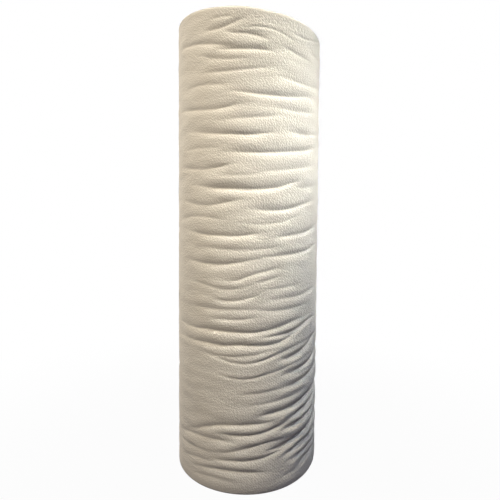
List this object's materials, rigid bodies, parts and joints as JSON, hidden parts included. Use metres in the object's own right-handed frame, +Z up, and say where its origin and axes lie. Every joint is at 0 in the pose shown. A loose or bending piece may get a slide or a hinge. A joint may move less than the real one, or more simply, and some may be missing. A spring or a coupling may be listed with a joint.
{
  "type": "roll of quilt batting",
  "caption": "Tall soft roll of cream quilt batting, a doubled sheet wound up on itself without a core and standing on its end, with soft creases round its side.",
  "frame": {"origin": "middle of the flat foot that the roll stands on", "axes": "+Z up along the roll's axis, -Y towards the viewer in front, +X to the viewer's right"},
  "size_m": [0.3903, 0.3925, 1.2062],
  "materials": {
    "batting": "natural cream needled cotton batting, matt and softly pebbled"
  },
  "bodies": {
    "root": {"batting_roll": "batting"}
  },
  "joints": []
}
